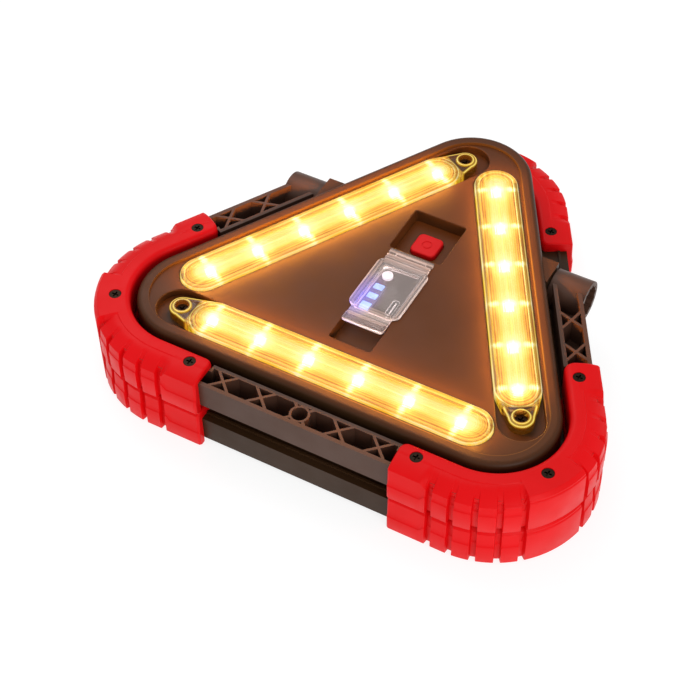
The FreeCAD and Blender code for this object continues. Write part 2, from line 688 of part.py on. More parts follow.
def pivot_hardware():
    bolts = new_body("pivot_bolts")
    washers = new_body("pivot_washers")

    def turned(kind, body, way, low, high, radius):
        kind(body, *mirrored(way, low, high), lambda s: circle(s, D.pivot_y, D.pivot_z, radius),
             plane="YZ")
    head = D.hub_floor + 0.9
    for way in (1, -1):
        turned(add, bolts, way, D.wedge_face, head, D.journal)
        turned(add, bolts, way, D.wedge_face - 9.0, D.wedge_face, 1.85)
        turned(add, bolts, way, head, head + 2.5, 4.6)
        turned(cut, bolts, way, head + 1.1, head + 2.5, 1.6)
        turned(add, washers, way, D.hub_floor + 0.3, head, 5.6)
        turned(cut, washers, way, D.hub_floor + 0.3, head, 3.05)
    finish(bolts)
    finish(washers)


def power_button():
    body = new_body("power_button")
    y, half = D.button_y, D.button_half
    add(body, D.button_base, D.button_top, button_outline)
    soften(body, 0.8, lambda e: flat_at(e, D.button_top.value))
    # flange that keeps the button in its hole
    add(body, D.button_base, D.button_base + 1.3,
        lambda s: box(s, -half - 1.2, half + 1.2, y - half, y + half, 0.5))
    cut(body, D.button_top - 0.3, D.button_top,
        lambda s: (circle(s, 0, y, 2.2), circle(s, 0, y, 1.7)))
    return finish(body)


def port_cover():
    """Soft cover over the charging port: it lifts on a round bead next to its anchor."""
    body = new_body("port_cover")
    low, high = D.cover_under, D.cover_top
    add(body, low, high,
        lambda s: box(s, -D.cover_half, D.cover_half, D.cover_near, D.cover_far, 3.0))
    soften(body, 0.6, lambda e: flat_at(e, high.value))
    add(body, low, high - 0.4,
        lambda s: box(s, -D.hinge_half, D.hinge_half, D.cover_far - 2.0, D.hinge_y, 0.0))
    add(body, -D.hinge_half, D.hinge_half,
        lambda s: circle(s, D.hinge_y, D.hinge_z, D.hinge_round), plane="YZ")
    add(body, low, high - 0.3,
        lambda s: box(s, -D.lip_half, D.lip_half, D.lip_near, D.cover_near + 2.0, 1.2))
    add(body, low, high, lambda s: box(s, -D.lip_half, D.lip_half, D.lip_near, D.lip_near + 1.4, 0.6))
    # rim that closes the port cavity
    add(body, D.port_floor + 0.3, D.cover_under,
        lambda s: (box(s, -D.port_half + 0.4, D.port_half - 0.4, D.port_near + 0.4,
                       D.port_far - 0.4, 1.1),
                   box(s, -D.port_half + 1.2, D.port_half - 1.2, D.port_near + 1.2,
                       D.port_far - 1.2, 0.6)))
    finish(body)

    anchor = new_body("port_cover_anchor")
    near, far, top = D.anchor_near, D.anchor_far, D.cover_top - 0.4
    add(anchor, D.panel_top, top, lambda s: box(s, -D.hinge_half, D.hinge_half, near, far, 0.3))
    cut(anchor, top - 0.4, top,
        lambda s: box(s, -D.hinge_half - 1, D.hinge_half + 1, near + 0.9, near + 1.5))
    add(anchor, D.panel_under, D.panel_top, lambda s: box(s, -6.9, 6.9, 18.6, 20.0, 0.5))
    finish(anchor)


def port_inside():
    floor = D.port_floor
    rows = [D.gauge_first - n * D.gauge_pitch for n in range(3)]

    def cells(s, grow):
        wide, long = 2.1 + grow, 1.5 + grow
        return [box(s, D.gauge_x - wide, D.gauge_x + wide, y - long, y + long, 0.3) for y in rows]

    window = new_body("indicator_window")
    add(window, floor, floor + 0.8,
        lambda s: box(s, D.gauge_x - 2.9, D.gauge_x + 2.9, D.port_near + 1.4, 1.6, 0.8))
    cut(window, floor + 0.4, floor + 0.8, lambda s: cells(s, 0.1))
    finish(window)

    bars = new_body("charge_bars")
    add(bars, floor + 0.4, floor + 0.9, lambda s: cells(s, 0.0))
    finish(bars)

    dot = new_body("status_led")
    add(dot, floor, floor + 1.1, lambda s: circle(s, D.gauge_x, D.dot_y, 2.3))
    finish(dot)

    port = new_body("usb_port")
    add(port, D.port_under - 3.5, floor + 0.5, socket_outline)
    cut(port, D.port_under - 2.5, floor + 0.5, lambda s: socket_outline(s, -0.35))
    add(port, D.port_under - 3.0, floor,
        lambda s: box(s, D.socket_x - 0.35, D.socket_x + 0.35, D.socket_y - 3.4, D.socket_y + 3.4))
    finish(port)

    board = new_body("port_board")
    add(board, D.port_under - 4.7, D.port_under - 3.5, lambda s: box(s, -9.0, 10.0, -16.0, 12.0, 1.0))
    finish(board)


def electronics():
    board = new_body("main_board")
    add(board, D.pcb_z, D.pcb_z + 1.6,
        lambda s: box(s, -D.pcb_half, D.pcb_half, 4.0, 50.0, 2.0))
    finish(board)

    switch = new_body("tact_switch")
    top = D.pcb_z + 1.6
    add(switch, top, top + 3.6, lambda s: box(s, -3.0, 3.0, D.button_y - 3.0, D.button_y + 3.0))
    add(switch, top + 3.6, D.button_base - D.travel, lambda s: circle(s, 0, D.button_y, 1.7))
    finish(switch)

    chips = new_body("control_chips")
    add(chips, top, top + 1.4,
        lambda s: (box(s, 8.0, 15.0, 9.0, 16.0), box(s, -16.0, -9.0, 10.0, 14.0),
                   box(s, -3.0, 3.0, 7.0, 13.0), box(s, 11.0, 17.0, 26.0, 32.0)))
    finish(chips)

    cradle = new_body("battery_cradle")
    cells = new_body("battery_cells")
    rows = (-41.2, -21.4)
    add(cells, -D.cell_half, D.cell_half,
        lambda s: [circle(s, y, D.cell_z, D.cell_radius) for y in rows], plane="YZ")
    add(cradle, D.back_inside, D.cell_z,
        lambda s: box(s, -D.cell_half - 2.6, D.cell_half + 2.6, -52.3, -10.3, 1.0))
    cut(cradle, -D.cell_half - 0.2, D.cell_half + 0.2,
        lambda s: [circle(s, y, D.cell_z, D.cell_radius + 0.1) for y in rows], plane="YZ")
    finish(cradle)
    finish(cells)


def rear_light():
    lens = new_body("work_light_lens")

    def window(s, grow, radius):
        box(s, -D.glow_half - grow, D.glow_half + grow, D.glow_near - grow, D.glow_far + grow, radius)
    add(lens, D.back_face, D.back_inside, lambda s: window(s, -0.1, 3.9))
    add(lens, D.back_inside, D.back_inside + 1.2, lambda s: window(s, 2.0, 5.0))
    cut(lens, D.back_face + 1.4, D.back_inside + 1.2, lambda s: window(s, -1.6, 2.5))
    finish(lens)

    plate = new_body("work_light_board")
    add(plate, D.back_inside + 1.2, D.back_inside + 2.8, lambda s: window(s, 1.5, 4.0))
    finish(plate)

    glow = new_body("work_light_strips")
    add(glow, D.back_inside + 0.4, D.back_inside + 1.2,
        lambda s: [box(s, -24.0, 24.0, y - 3.0, y + 3.0, 2.9) for y in (4.0, 14.0, 24.0)])
    finish(glow)


front_housing()
rear_housing()
housing_gasket()
for side in SIDES:
    light_bar(side)
bumpers()
stand_frame()
pivot_hardware()
power_button()
port_cover()
port_inside()
electronics()
rear_light()
screws("housing_screws", BOSSES, D.back_face + 3.0, False, D.screw_head, 1.8, D.screw_shank, 18.0)
screws("lens_screws", [on_side(side, D.bar_line.value, -D.tab_tip.value) for side in SIDES],
       D.tab_seat, True, D.screw_head + 0.2, 1.3, D.screw_shank, 6.0)
screws("stand_bumper_screws", STAND_SCREWS,
       D.total_height - 1.6, True, D.screw_head, 1.3, D.screw_shank, 9.0)
screws("base_bumper_screws", BASE_SCREWS,
       D.seam_low - 1.6, True, D.screw_head, 1.3, D.screw_shank, 12.0)

doc.recompute()
for thing in doc.Objects:
    bad = [word for word in ("Invalid", "Error") if word in thing.State]
    if bad:
        raise RuntimeError("%s (%s) is %s" % (thing.Label, thing.TypeId, bad))
os.makedirs("parts", exist_ok=True)
for piece in pieces:
    shape = piece.Shape
    if shape.isNull() or not shape.isValid():
        raise RuntimeError("%s has no valid shape" % piece.Label)
    shape.exportStep("parts/%s.step" % piece.Label)
print("%d pieces written" % len(pieces))
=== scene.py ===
import math

import bmesh
import bpy
from mathutils import Matrix, Vector


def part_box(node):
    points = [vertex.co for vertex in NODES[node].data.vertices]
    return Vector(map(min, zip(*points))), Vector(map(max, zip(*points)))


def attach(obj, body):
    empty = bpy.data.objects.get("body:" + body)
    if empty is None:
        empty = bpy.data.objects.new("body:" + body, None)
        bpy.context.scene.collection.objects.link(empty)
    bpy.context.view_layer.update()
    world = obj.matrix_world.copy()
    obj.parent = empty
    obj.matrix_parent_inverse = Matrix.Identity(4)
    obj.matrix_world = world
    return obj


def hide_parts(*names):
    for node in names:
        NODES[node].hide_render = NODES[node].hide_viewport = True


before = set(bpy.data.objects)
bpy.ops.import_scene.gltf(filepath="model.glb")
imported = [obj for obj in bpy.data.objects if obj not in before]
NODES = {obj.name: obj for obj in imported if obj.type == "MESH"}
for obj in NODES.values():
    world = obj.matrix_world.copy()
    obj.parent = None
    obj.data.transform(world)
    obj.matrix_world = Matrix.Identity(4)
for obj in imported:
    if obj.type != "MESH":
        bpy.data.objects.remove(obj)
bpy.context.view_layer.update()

# Plan coordinates are millimetres about the triangle's centre, Z is height above the rest plane. A reach is
# the distance from the centre straight out to a line along one side.
MM = 0.001
ARC_AWAY = 76.0                                 # centre to the centre of each corner arc
ARC_X, ARC_Y = ARC_AWAY * math.cos(math.radians(30)), ARC_AWAY / 2
BUMPER_OUTSIDE, BUMPER_INSIDE = 80.8, 66.0      # reach of a bumper's outer and inner wall
Y0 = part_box("base_bumper_top")[1].y / MM - (ARC_AWAY + BUMPER_OUTSIDE - ARC_Y)
SIDE_TURN = {"front": 0.0, "right": 120.0, "left": 240.0}
PANEL_TOP = 36.4
STEP_OFF_ARC = 20.5                             # arc centre to the step between the panel and the rim

# A light bar, seen with its side turned to the front
BAR_LINE = 47.5                                 # reach of its middle line
BAR_TAIL, BAR_HEAD, BAR_HALF = -54.0, 59.6, 9.2
TAB_START, TAB_WIDE = -56.0, 9.0                # where the tab begins to narrow, and its half width there
TAB_TIP, TAB_HALF = -68.2, 5.2                  # its screw hole, and its half width there
LED_FIRST, LED_PITCH, LED_COUNT = -54.0, 22.0, 6
RIB_PITCH = 0.9                                 # fine lines that follow a lens's outline
CROWN_UNDER = 36.4                              # underside of a lens's crown

# The cover over the charging port
COVER_HALF, COVER_NEAR, COVER_FAR = 11.5, -14.8, 14.6
HINGE_RIDGES = (15.5, 17.0)
LIP_NEAR, LIP_FAR = -23.4, -18.2


def at(x, y, z, turn=0.0):
    """The point at plan x, y and height z, in metres, turned by `turn` degrees about the centre."""
    c, s = math.cos(math.radians(turn)), math.sin(math.radians(turn))
    return Vector(((c * x - s * y) * MM, (s * x + c * y + Y0) * MM, z * MM))


def on_side(side, reach, along):
    """Plan x, y of a place out by its reach and along side 0 (front), 1 (right) or 2 (left)."""
    angle = math.radians(-90 + 120 * side)
    return (reach * math.cos(angle) - along * math.sin(angle),
            reach * math.sin(angle) + along * math.cos(angle))


# ------------------------------------------------------------------ node helpers

def new_material(name):
    mat = bpy.data.materials.new(name)
    mat.use_nodes = True
    tree = mat.node_tree
    return mat, tree, tree.links, tree.nodes["Principled BSDF"]


def math_node(tree, kind, a, b=None, clamp=False):
    node = tree.nodes.new("ShaderNodeMath")
    node.operation = kind
    node.use_clamp = clamp
    for i, value in enumerate((a, b)):
        if isinstance(value, (int, float)):
            node.inputs[i].default_value = value
        elif value is not None:
            tree.links.new(value, node.inputs[i])
    return node.outputs[0]


def noise(tree, scale, detail=3.0, vector=None):
    node = tree.nodes.new("ShaderNodeTexNoise")
    node.inputs["Scale"].default_value = scale
    node.inputs["Detail"].default_value = detail
    if vector is None:
        vector = tree.nodes.new("ShaderNodeTexCoord").outputs["Object"]
    tree.links.new(vector, node.inputs["Vector"])
    return node.outputs["Fac"]


def ramp(tree, fac, stops):
    node = tree.nodes.new("ShaderNodeValToRGB")
    elements = node.color_ramp.elements
    while len(elements) < len(stops):
        elements.new(0.5)
    for element, (pos, color) in zip(elements, stops):
        element.position = pos
        element.color = (*color, 1.0)
    tree.links.new(fac, node.inputs["Fac"])
    return node.outputs["Color"]


def map_range(tree, value, lo, hi, out_lo, out_hi):
    node = tree.nodes.new("ShaderNodeMapRange")
    for name, number in (("From Min", lo), ("From Max", hi), ("To Min", out_lo), ("To Max", out_hi)):
        node.inputs[name].default_value = number
    tree.links.new(value, node.inputs["Value"])
    return node.outputs["Result"]


def bump(tree, height, strength, distance, bsdf):
    node = tree.nodes.new("ShaderNodeBump")
    node.inputs["Strength"].default_value = strength
    node.inputs["Distance"].default_value = distance
    tree.links.new(height, node.inputs["Height"])
    tree.links.new(node.outputs["Normal"], bsdf.inputs["Normal"])


def places(tree, turn=0.0):
    """Millimetres along X, along Y and up, about the triangle's centre, turned with one side."""
    split = tree.nodes.new("ShaderNodeSeparateXYZ")
    coord = tree.nodes.new("ShaderNodeTexCoord")
    tree.links.new(coord.outputs["Object"], split.inputs[0])
    x = math_node(tree, "MULTIPLY", split.outputs[0], 1 / MM)
    y = math_node(tree, "SUBTRACT", math_node(tree, "MULTIPLY", split.outputs[1], 1 / MM), Y0)
    z = math_node(tree, "MULTIPLY", split.outputs[2], 1 / MM)
    c, s = math.cos(math.radians(turn)), math.sin(math.radians(turn))
    along = math_node(tree, "ADD", math_node(tree, "MULTIPLY", x, c), math_node(tree, "MULTIPLY", y, s))
    up = math_node(tree, "ADD", math_node(tree, "MULTIPLY", y, c), math_node(tree, "MULTIPLY", x, -s))
    return along, up, z


def length_of(tree, a, b):
    squares = [math_node(tree, "MULTIPLY", v, v) for v in (a, b)]
    return math_node(tree, "SQRT", math_node(tree, "ADD", *squares))


def bell(tree, value, centre, width):
    """One where value is at the centre, falling to zero at `width` to either side."""
    off = math_node(tree, "ABSOLUTE", math_node(tree, "SUBTRACT", value, centre))
    return map_range(tree, off, 0.0, width, 1.0, 0.0)


# ------------------------------------------------------------------ materials

def moulded(name, dark, light, rough, grain=900.0, grain_strength=0.25, gloss=0.5):
    """Injection-moulded plastic or rubber: spark texture, faint flow marks, uneven gloss."""
    mat, tree, links, bsdf = new_material(name)
    links.new(ramp(tree, noise(tree, 35.0), [(0.3, dark), (0.7, light)]), bsdf.inputs["Base Color"])
    links.new(map_range(tree, noise(tree, 120.0), 0.3, 0.7, rough - 0.06, rough + 0.08),
              bsdf.inputs["Roughness"])
    bsdf.inputs["Specular IOR Level"].default_value = gloss
    bump(tree, noise(tree, grain), grain_strength, 0.00006, bsdf)
    return mat


def metal(name, color, rough):
    """Plated or blackened steel with fine spots."""
    mat, tree, links, bsdf = new_material(name)
    bsdf.inputs["Metallic"].default_value = 1.0
    spots = noise(tree, 900.0)
    dark = tuple(c * 0.6 for c in color)
    links.new(ramp(tree, spots, [(0.3, dark), (0.7, color)]), bsdf.inputs["Base Color"])
    links.new(map_range(tree, spots, 0.2, 0.8, rough - 0.08, rough + 0.12), bsdf.inputs["Roughness"])
    bump(tree, spots, 0.2, 0.00003, bsdf)
    return mat


def glowing(name, color, strength):
    """Phosphor or a lit window, a little uneven; with no strength it is only its colour."""
    mat, tree, links, bsdf = new_material(name)
    cloud = noise(tree, 600.0)
    low = tuple(c * 0.82 for c in color)
    shade = ramp(tree, cloud, [(0.3, low), (0.7, color)])
    links.new(shade, bsdf.inputs["Base Color"])
    links.new(shade, bsdf.inputs["Emission Color"])
    links.new(map_range(tree, cloud, 0.3, 0.7, strength * 0.9, strength * 1.1),
              bsdf.inputs["Emission Strength"])
    bsdf.inputs["Roughness"].default_value = 0.35
    return mat


def clear(name, tint, rough, weight):
    """Clear or frosted plastic: `weight` is the share of light that passes."""
    mat, tree, links, bsdf = new_material(name)
    cloud = noise(tree, 160.0)
    low = tuple(c * 0.92 for c in tint)
    links.new(ramp(tree, cloud, [(0.3, low), (0.7, tint)]), bsdf.inputs["Base Color"])
    links.new(map_range(tree, cloud, 0.3, 0.7, rough * 0.8, rough * 1.2), bsdf.inputs["Roughness"])
    bsdf.inputs["IOR"].default_value = 1.42
    bsdf.inputs["Transmission Weight"].default_value = weight
    bump(tree, noise(tree, 500.0), 0.1, 0.00005, bsdf)
    return mat


def cover_silicone():
    """Soft clear silicone: painted highlights glow pale on the borders, ridges and lip, and a painted violet
    glow spreads round the gauge.
    """
    mat, tree, links, bsdf = new_material("cover_silicone")
    x, y, _ = places(tree)
    middle = (COVER_NEAR + COVER_FAR) / 2
    side = math_node(tree, "SUBTRACT", math_node(tree, "ABSOLUTE", x), COVER_HALF)
    end = math_node(tree, "SUBTRACT", math_node(
        tree, "ABSOLUTE", math_node(tree, "SUBTRACT", y, middle)), COVER_FAR - middle)
    depth = math_node(tree, "MULTIPLY", math_node(tree, "MAXIMUM", side, end), -1.0)
    # painted highlight: a pale emission mask along the border, ridges, anchor, lip and tongue
    edge = math_node(tree, "MULTIPLY", bell(tree, depth, 0.25, 0.45), 0.9)
    anchor_middle, tongue_middle = 19.4, -16.4
    for value, centre, width, share in (
            (depth, 1.75, 0.4, 0.55), (y, HINGE_RIDGES[0], 0.5, 0.8), (y, HINGE_RIDGES[1], 0.6, 0.9),
            (y, anchor_middle, 0.9, 0.9), (y, LIP_FAR - 0.2, 0.5, 0.8), (y, LIP_NEAR + 0.3, 0.5, 0.9),
            (y, tongue_middle, 1.4, 0.35)):
        edge = math_node(tree, "MAXIMUM", edge, math_node(
            tree, "MULTIPLY", bell(tree, value, centre, width), share))
    # painted light: the gauge's violet glow, spread over the cover as emission
    gauge_x, gauge_y = -7.5, -8.0
    away = length_of(tree, math_node(tree, "SUBTRACT", x, gauge_x),
                     math_node(tree, "MULTIPLY", math_node(tree, "SUBTRACT", y, gauge_y), 0.55))
    painted_violet_glow = map_range(tree, away, 0.5, 9.0, 1.0, 0.0)
    cloud = noise(tree, 220.0)
    links.new(ramp(tree, cloud, [(0.3, (0.88, 0.80, 0.80)), (0.7, (0.95, 0.88, 0.88))]),
              bsdf.inputs["Base Color"])
    links.new(map_range(tree, cloud, 0.3, 0.7, 0.05, 0.10), bsdf.inputs["Roughness"])
    bsdf.inputs["IOR"].default_value = 1.38
    bsdf.inputs["Specular IOR Level"].default_value = 0.35
    bsdf.inputs["Transmission Weight"].default_value = 0.95
    # emission colour and strength carry the painted highlights and the painted violet glow, with a faint
    # painted glow all over
    links.new(ramp(tree, math_node(tree, "SUBTRACT", painted_violet_glow, math_node(tree, "MULTIPLY", edge, 0.5)),
                   [(0.0, (0.78, 0.54, 0.44)), (0.35, (0.42, 0.28, 0.60)), (1.0, (0.22, 0.18, 0.85))]),
              bsdf.inputs["Emission Color"])
    share = math_node(tree, "ADD", math_node(tree, "MULTIPLY", painted_violet_glow, 0.30),
                      math_node(tree, "MULTIPLY", edge, 0.55))
    links.new(math_node(tree, "ADD", share, 0.05), bsdf.inputs["Emission Strength"])
    bump(tree, noise(tree, 300.0), 0.05, 0.00002, bsdf)
    return mat


def lens_painted_glow(name, turn):
    """Ribbed clear lens over six lit LEDs, their light through it painted on as emission: a pale band down
    the middle, amber flanks crossed by fine lines that follow the outline, bright rims, and a white-hot spot
    over every LED."""
    mat, tree, links, bsdf = new_material(name)
    along, up, height = places(tree, turn)
    across = math_node(tree, "MULTIPLY", math_node(tree, "ADD", up, BAR_LINE), -1.0)
    past = math_node(tree, "ADD",
                     math_node(tree, "MAXIMUM", math_node(tree, "SUBTRACT", along, BAR_HEAD), 0.0),
                     math_node(tree, "MINIMUM", math_node(tree, "SUBTRACT", along, BAR_TAIL), 0.0))
    inset = math_node(tree, "SUBTRACT", BAR_HALF, length_of(tree, past, across))
    step = math_node(tree, "DIVIDE", math_node(tree, "SUBTRACT", along, LED_FIRST), LED_PITCH)
    nearest = math_node(tree, "MINIMUM", math_node(
        tree, "MAXIMUM", math_node(tree, "ROUND", step), 0.0), LED_COUNT - 1.0)
    off = math_node(tree, "MULTIPLY", math_node(tree, "SUBTRACT", step, nearest), LED_PITCH)
    spot = length_of(tree, off, math_node(tree, "MULTIPLY", across, 0.75))
    core = map_range(tree, spot, 0.6, 2.6, 1.0, 0.0)
    halo = map_range(tree, spot, 1.5, 8.0, 1.0, 0.0)
    # painted highlights: a second, smaller spot where each flank bends the light out, and a faint line
    # between them
    flank_middle = 6.0
    flank = length_of(tree, off, math_node(tree, "MULTIPLY", math_node(
        tree, "SUBTRACT", math_node(tree, "ABSOLUTE", across), flank_middle), 0.8))
    glint = map_range(tree, flank, 0.5, 2.2, 1.0, 0.0)
    ghost = math_node(tree, "MULTIPLY", bell(tree, off, 0.0, 1.8), map_range(tree, inset, 6.5, 0.5, 0.0, 1.0))
    # painted light along fine lines that follow the outline, and streaks along the bar
    rib = math_node(tree, "SINE", math_node(tree, "MULTIPLY", inset, 2 * math.pi / RIB_PITCH))
    combine_xy = tree.nodes.new("ShaderNodeCombineXYZ")
    links.new(math_node(tree, "MULTIPLY", along, 0.06), combine_xy.inputs[0])
    links.new(math_node(tree, "MULTIPLY", across, 0.8), combine_xy.inputs[1])
    streak = math_node(tree, "SUBTRACT", noise(tree, 1.0, 4.0, combine_xy.outputs[0]), 0.5)
    flanks = map_range(tree, inset, 6.4, 3.4, 0.0, 1.0)
    depth = math_node(tree, "ADD", 0.40, math_node(tree, "MULTIPLY", flanks, 0.60))
    lines = math_node(tree, "MULTIPLY", depth, math_node(
        tree, "ADD", math_node(tree, "MULTIPLY", rib, 0.12), math_node(tree, "MULTIPLY", streak, 0.9)))
    # painted light across the bar: pale along the middle, deeper towards both edges
    tone = math_node(tree, "SUBTRACT", 0.72, math_node(tree, "MULTIPLY", flanks, 0.37))
    for centre, width, lift in ((0.15, 0.55, 0.40), (0.95, 0.45, -0.22), (1.75, 0.40, 0.34),
                                (2.45, 0.45, -0.16)):
        band = math_node(tree, "MULTIPLY", bell(tree, inset, centre, width), lift)
        tone = math_node(tree, "ADD", tone, band)
    for part, lift in ((lines, 1.0), (halo, 0.22), (core, 0.60), (glint, 0.42), (ghost, 0.22)):
        tone = math_node(tree, "ADD", tone, math_node(tree, "MULTIPLY", part, lift))
    hot = math_node(tree, "MAXIMUM", core, math_node(tree, "MULTIPLY", glint, 0.45))
    # only the outer surfaces carry the painted glow: the crown's top and the outer wall, not the hollow
    # underneath
    above = map_range(tree, height, CROWN_UNDER + 0.05, CROWN_UNDER + 0.2, 0.0, 1.0)
    outside = math_node(tree, "MAXIMUM", above, map_range(tree, inset, 0.7, 0.9, 1.0, 0.0))
    strength = math_node(tree, "MULTIPLY", outside, math_node(
        tree, "ADD", 0.55, math_node(tree, "MULTIPLY", hot, 0.65)))
    # the screw tab is away from the LEDs: only its rim and the collar round its hole carry painted light
    tab_run = TAB_START - TAB_TIP
    run = math_node(tree, "DIVIDE", math_node(tree, "SUBTRACT", TAB_START, along), tab_run, clamp=True)
    beyond = math_node(tree, "SUBTRACT", TAB_START, math_node(tree, "MULTIPLY", run, tab_run))
    from_axis = length_of(tree, math_node(tree, "SUBTRACT", along, beyond), across)
    half_width = math_node(tree, "SUBTRACT", TAB_WIDE, math_node(tree, "MULTIPLY", run, TAB_WIDE - TAB_HALF))
    wall = math_node(tree, "SUBTRACT", half_width, from_axis)
    from_hole = length_of(tree, math_node(tree, "SUBTRACT", along, TAB_TIP), across)
    rim = math_node(tree, "MAXIMUM", bell(tree, wall, 0.45, 0.75), bell(tree, from_hole, 3.5, 0.7))
    rim = math_node(tree, "MULTIPLY", rim,
                    map_range(tree, height, CROWN_UNDER + 0.1, CROWN_UNDER + 0.9, 0.0, 1.0))
    dim = math_node(tree, "ADD", 0.08, math_node(tree, "MULTIPLY", rim, 0.9))
    on_bar = map_range(tree, past, -9.4, -8.8, 0.0, 1.0)
    off_bar = math_node(tree, "SUBTRACT", 1.0, on_bar)
    rim_tone = math_node(tree, "ADD", 0.12, math_node(tree, "MULTIPLY", rim, 0.62))
    tone = math_node(tree, "ADD", math_node(tree, "MULTIPLY", tone, on_bar),
                     math_node(tree, "MULTIPLY", rim_tone, off_bar), clamp=True)
    color = ramp(tree, tone, [(0.0, (0.38, 0.085, 0.001)), (0.2, (0.62, 0.22, 0.002)),
                              (0.38, (0.80, 0.42, 0.004)), (0.55, (0.90, 0.64, 0.030)),
                              (0.78, (0.95, 0.78, 0.26)), (1.0, (1.0, 0.95, 0.70))])
    lit = math_node(tree, "ADD", math_node(tree, "MULTIPLY", on_bar, strength),
                    math_node(tree, "MULTIPLY", off_bar, dim))
    links.new(color, bsdf.inputs["Emission Color"])
    links.new(lit, bsdf.inputs["Emission Strength"])
    # the base colour follows the same painted light
    links.new(ramp(tree, tone, [(0.15, (0.62, 0.30, 0.12)), (0.35, (0.84, 0.54, 0.24)),
                                (0.8, (0.92, 0.74, 0.36))]),
              bsdf.inputs["Base Color"])
    links.new(map_range(tree, streak, -0.3, 0.3, 0.05, 0.14), bsdf.inputs["Roughness"])
    links.new(map_range(tree, on_bar, 0.0, 1.0, 0.96, 0.88), bsdf.inputs["Transmission Weight"])
    bsdf.inputs["IOR"].default_value = 1.40
    bsdf.inputs["Specular IOR Level"].default_value = 0.35
    return mat


def housing_plastic():
    """Dark brown plastic; on the step inside the rim a thin amber line of emission is a painted reflection of
    the bars' light, brightest beside the right-hand bar."""
    mat = moulded("housing_plastic", (0.037, 0.016, 0.0058), (0.045, 0.020, 0.008), 0.40, 1400.0, 0.2, 0.16)
    tree = mat.node_tree
    bsdf = tree.nodes["Principled BSDF"]
    # distance to the triangle of the arc centres, and how far outside it a place lies
    nearest = outside = None
    for turn in SIDE_TURN.values():
        along, up, height = places(tree, turn)
        past = math_node(tree, "MAXIMUM", math_node(
            tree, "SUBTRACT", math_node(tree, "ABSOLUTE", along), ARC_X), 0.0)
        away = length_of(tree, past, math_node(tree, "ADD", up, ARC_Y))
        beyond = math_node(tree, "SUBTRACT", -ARC_Y, up)
        nearest = away if nearest is None else math_node(tree, "MINIMUM", nearest, away)
        outside = beyond if outside is None else math_node(tree, "MAXIMUM", outside, beyond)
    # painted reflection: a thin amber emission along the step, standing in for the bars' light
    painted_step_line = math_node(tree, "MULTIPLY", bell(tree, nearest, STEP_OFF_ARC, 0.5),
                     map_range(tree, height, PANEL_TOP - 0.1, PANEL_TOP + 0.2, 0.0, 1.0))
    painted_step_line = math_node(tree, "MULTIPLY", painted_step_line, map_range(tree, outside, 2.0, 5.0, 0.0, 1.0))
    # the painted reflection is weaker towards the corners, and weaker from right to left
    fade = map_range(tree, length_of(tree, along, up), 66.0, 92.0, 1.0, 0.2)
    fade = math_node(tree, "MULTIPLY", fade, map_range(tree, places(tree)[0], -20.0, 40.0, 0.25, 1.0))
    bsdf.inputs["Emission Color"].default_value = (1.0, 0.36, 0.04, 1.0)
    tree.links.new(math_node(tree, "MULTIPLY", painted_step_line, math_node(tree, "MULTIPLY", fade, 0.55)),
                   bsdf.inputs["Emission Strength"])
    return mat


housing_mat = housing_plastic()
frame_mat = moulded("frame_plastic", (0.074, 0.034, 0.021), (0.090, 0.043, 0.028), 0.42, 1100.0, 0.25, 0.22)
rubber_mat = moulded("bumper_rubber", (0.73, 0.003, 0.004), (0.82, 0.004, 0.007), 0.36, 700.0, 0.25, 0.10)
button_mat = moulded("button_rubber", (0.74, 0.006, 0.008), (0.82, 0.009, 0.011), 0.42, 900.0, 0.2, 0.15)
gasket_mat = moulded("gasket_rubber", (0.012, 0.012, 0.012), (0.02, 0.02, 0.02), 0.7)
board_mat = moulded("white_board", (0.74, 0.74, 0.70), (0.82, 0.82, 0.78), 0.35, 300.0, 0.1)
green_mat = moulded("green_board", (0.012, 0.11, 0.05), (0.02, 0.16, 0.07), 0.3, 300.0, 0.1)
chip_mat = moulded("chip_black", (0.012, 0.012, 0.013), (0.022, 0.022, 0.024), 0.4)
wrap_mat = moulded("cell_wrap", (0.03, 0.12, 0.42), (0.04, 0.16, 0.52), 0.3, 200.0, 0.1)
smoke_mat = moulded("gauge_window", (0.02, 0.03, 0.12), (0.03, 0.05, 0.18), 0.2, 300.0, 0.05)
screw_mat = metal("blackened_steel", (0.030, 0.018, 0.012), 0.36)
zinc_mat = metal("zinc_steel", (0.58, 0.58, 0.56), 0.3)
port_mat = metal("nickel", (0.62, 0.62, 0.62), 0.25)
led_mat = glowing("led_phosphor", (1.0, 0.84, 0.45), 7.0)
blue_mat = glowing("gauge_blue", (0.30, 0.55, 1.0), 0.95)
white_mat = glowing("indicator_white", (0.95, 0.92, 1.0), 0.9)
cob_mat = glowing("cob_phosphor", (0.85, 0.65, 0.12), 0.0)
frost_mat = clear("frosted_lens", (0.92, 0.94, 0.96), 0.45, 0.6)
cover_mat = cover_silicone()

CAD_LOOKS = {
    housing_mat: ("front_housing", "rear_housing", "battery_cradle"),
    frame_mat: ("stand_frame",),
    gasket_mat: ("housing_gasket",),
    screw_mat: ("housing_screws", "lens_screws", "base_bumper_screws", "stand_bumper_screws"),
    zinc_mat: ("pivot_bolts", "pivot_washers"),
    board_mat: ("led_board_front", "led_board_right", "led_board_left", "work_light_board"),
    led_mat: ("leds_front", "leds_right", "leds_left"),
    green_mat: ("port_board", "main_board"),
    chip_mat: ("tact_switch", "control_chips"),
    wrap_mat: ("battery_cells",),
    cover_mat: ("port_cover_anchor",),
    smoke_mat: ("indicator_window",),
    blue_mat: ("charge_bars",),
    white_mat: ("status_led",),
    port_mat: ("usb_port",),
    frost_mat: ("work_light_lens",),
    cob_mat: ("work_light_strips",),
    button_mat: ("power_button",),
}
for mat, names in CAD_LOOKS.items():
    for name in names:
        NODES[name].data.materials.clear()
        NODES[name].data.materials.append(mat)


# ------------------------------------------------------------------ mesh helpers

